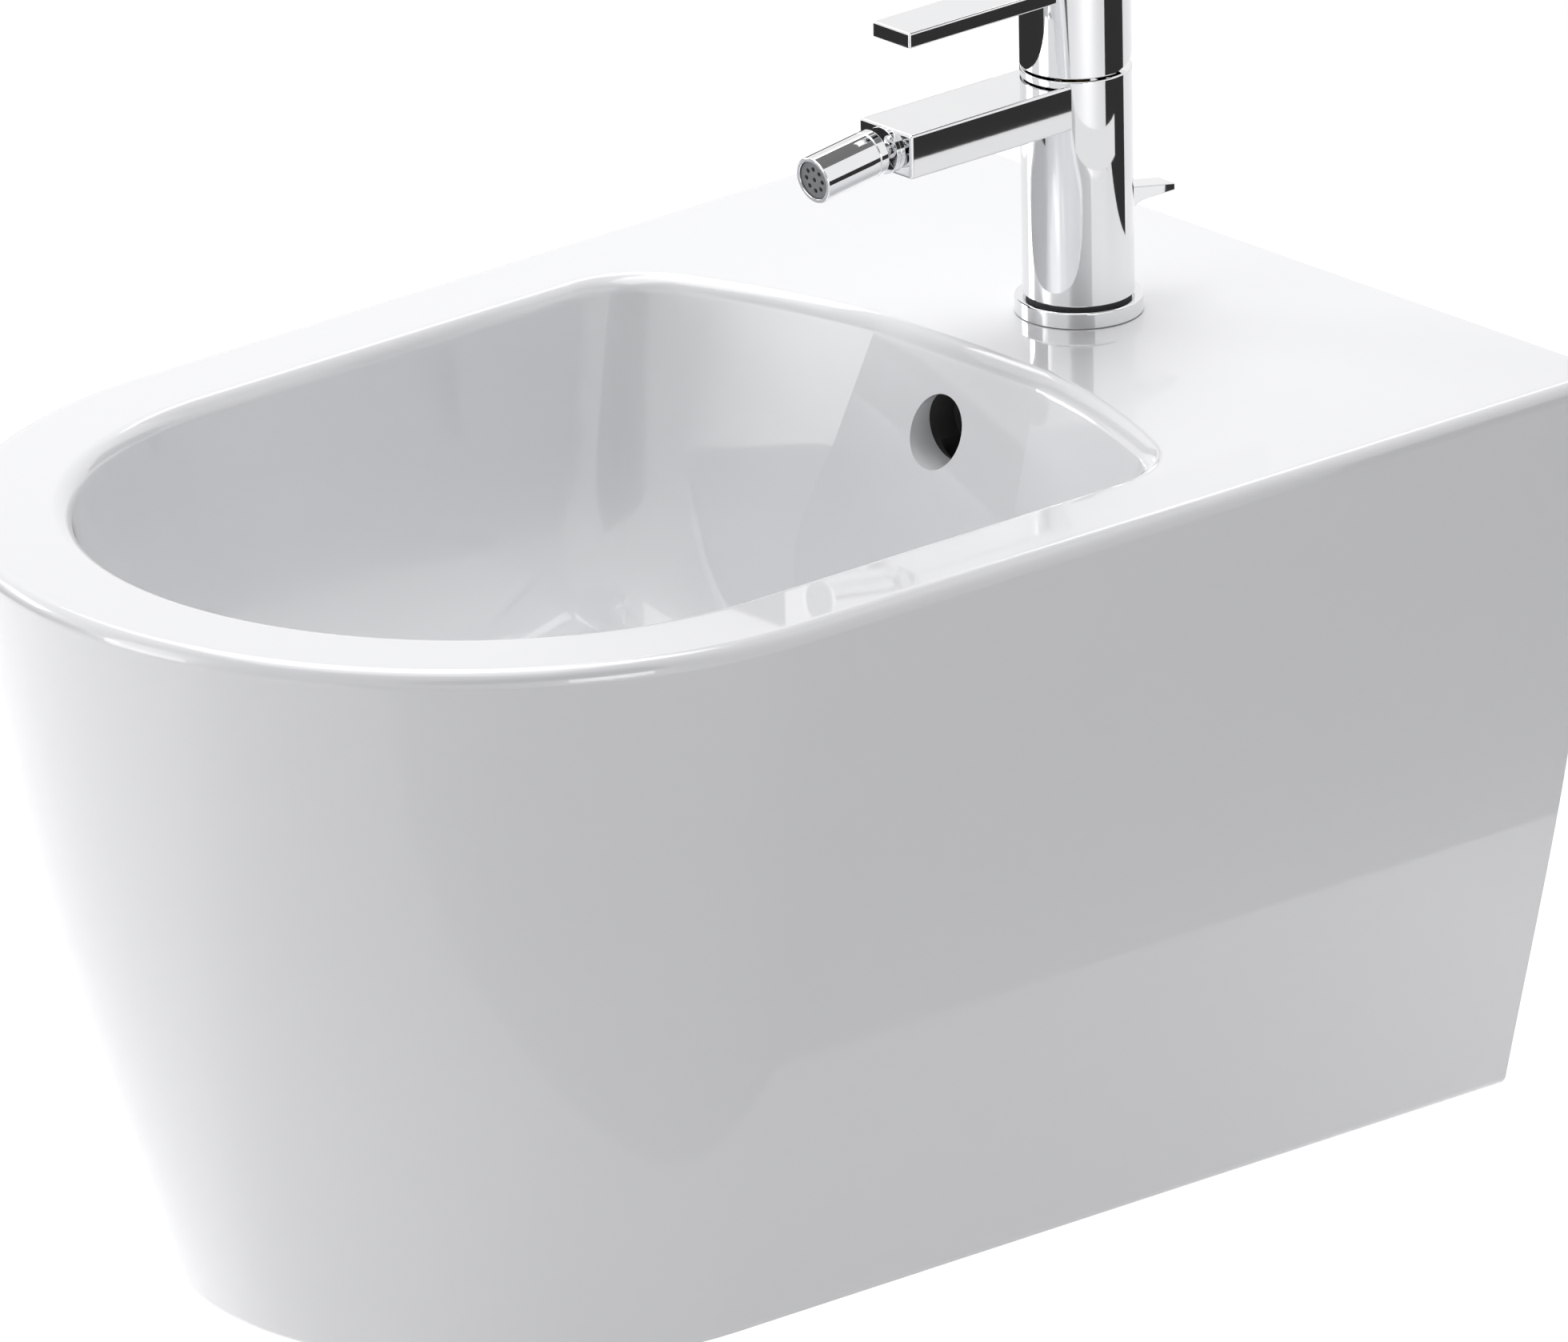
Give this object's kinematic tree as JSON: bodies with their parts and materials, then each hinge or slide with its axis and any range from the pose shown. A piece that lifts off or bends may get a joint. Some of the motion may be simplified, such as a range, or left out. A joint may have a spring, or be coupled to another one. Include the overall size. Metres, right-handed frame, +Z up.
{
  "type": "wall-hung bidet",
  "caption": "Wall-hung bidet with a half-round front, single-lever mixer tap with a ball-jointed nozzle, overflow and pop-up waste.",
  "frame": {"origin": "midway between the two wall studs, on the plane of the wall", "axes": "+Z up, +Y into the wall, the bowl's front at -Y, +X to the right of someone facing the wall"},
  "size_m": [0.3698, 0.5699, 0.421],
  "materials": {
    "ceramic": "white glazed vitreous china",
    "chrome": "polished chrome plate on brass",
    "disc_ceramic": "lapped technical ceramic",
    "black_rubber": "moulded rubber seal",
    "white_plastic": "natural white moulded plastic",
    "grey_plastic": "grey moulded plastic",
    "cover_plastic": "silver-grey gloss plastic",
    "steel": "bright steel",
    "brass": "bare turned brass"
  },
  "bodies": {
    "china": {"ball_stud": "chrome", "base_ring": "chrome", "base_seal": "black_rubber", "cartridge_base": "white_plastic", "cartridge_housing": "white_plastic", "cartridge_nut": "brass", "cartridge_seals": "black_rubber", "ceramic_body": "ceramic", "clamp_nut": "brass", "clamp_plate": "steel", "clamp_seal": "black_rubber", "fixed_disc": "disc_ceramic", "fixing_nuts": "steel", "fixing_sleeves": "white_plastic", "fixing_washers": "steel", "pivot_nut": "grey_plastic", "pivot_seat": "white_plastic", "stud_seal": "black_rubber", "tailpiece": "chrome", "tap_body": "chrome", "tap_stud": "steel", "waste_backnut": "brass", "waste_body": "chrome", "waste_lower_seal": "black_rubber", "waste_top_seal": "black_rubber"},
    "rotor": {"cartridge_rotor": "white_plastic", "stem_pin": "steel"},
    "handle": {"handle": "chrome", "cartridge_stem": "brass", "handle_screw": "steel", "screw_cover": "cover_plastic"},
    "disc": {"moving_disc": "disc_ceramic", "disc_driver": "white_plastic"},
    "seat": {"ball_seat": "white_plastic"},
    "nozzle": {"nozzle": "chrome", "ball_collar": "chrome", "aerator_insert": "grey_plastic", "aerator_seal": "black_rubber"},
    "lift": {"lift_tab": "chrome", "lift_rod": "chrome", "link_strap": "steel", "strap_screw": "brass"},
    "pivot": {"pivot_rod": "steel", "rod_clip": "steel"},
    "plug": {"waste_plug": "chrome", "plug_seal": "black_rubber"}
  },
  "joints": [
    {"name": "lever_turn", "type": "hinge", "parent": "china", "child": "rotor", "pos_m": [0, -0.0915, 0.16142], "axis": [0, 0, 1], "range_deg": [-45, 45]},
    {"name": "lever_lift", "type": "hinge", "parent": "rotor", "child": "handle", "pos_m": [0, -0.0915, 0.16142], "axis": [-1, 0, 0], "range_deg": [0, 14]},
    {"name": "disc_slide", "type": "slide", "parent": "rotor", "child": "disc", "axis": [0, -1, 0], "range_m": [0, 0.0016]},
    {"name": "nozzle_yaw", "type": "hinge", "parent": "china", "child": "seat", "pos_m": [0, -0.1934, 0.1635], "axis": [0, 0, 1], "range_deg": [-15, 15]},
    {"name": "nozzle_tilt", "type": "hinge", "parent": "seat", "child": "nozzle", "pos_m": [0, -0.1934, 0.1635], "axis": [1, 0, 0], "range_deg": [-22.5, 7.5]},
    {"name": "lift_rod_slide", "type": "slide", "parent": "china", "child": "lift", "axis": [0, 0, 1], "range_m": [-0.008, 0.014]},
    {"name": "pivot_swing", "type": "hinge", "parent": "china", "child": "pivot", "pos_m": [0, -0.217, -0.132], "axis": [1, 0, 0], "range_deg": [-3.4, 5.9]},
    {"name": "plug_slide", "type": "slide", "parent": "china", "child": "plug", "axis": [0, 0, 1], "range_m": [-0.0034, 0.002]}
  ],
  "couplings": [
    {"joint": "disc_slide", "follows": "lever_lift", "m_per_rad": 0.0062},
    {"joint": "pivot_swing", "follows": "lift_rod_slide", "rad_per_m": 7.2464},
    {"joint": "plug_slide", "follows": "lift_rod_slide", "ratio": -0.23913}
  ]
}
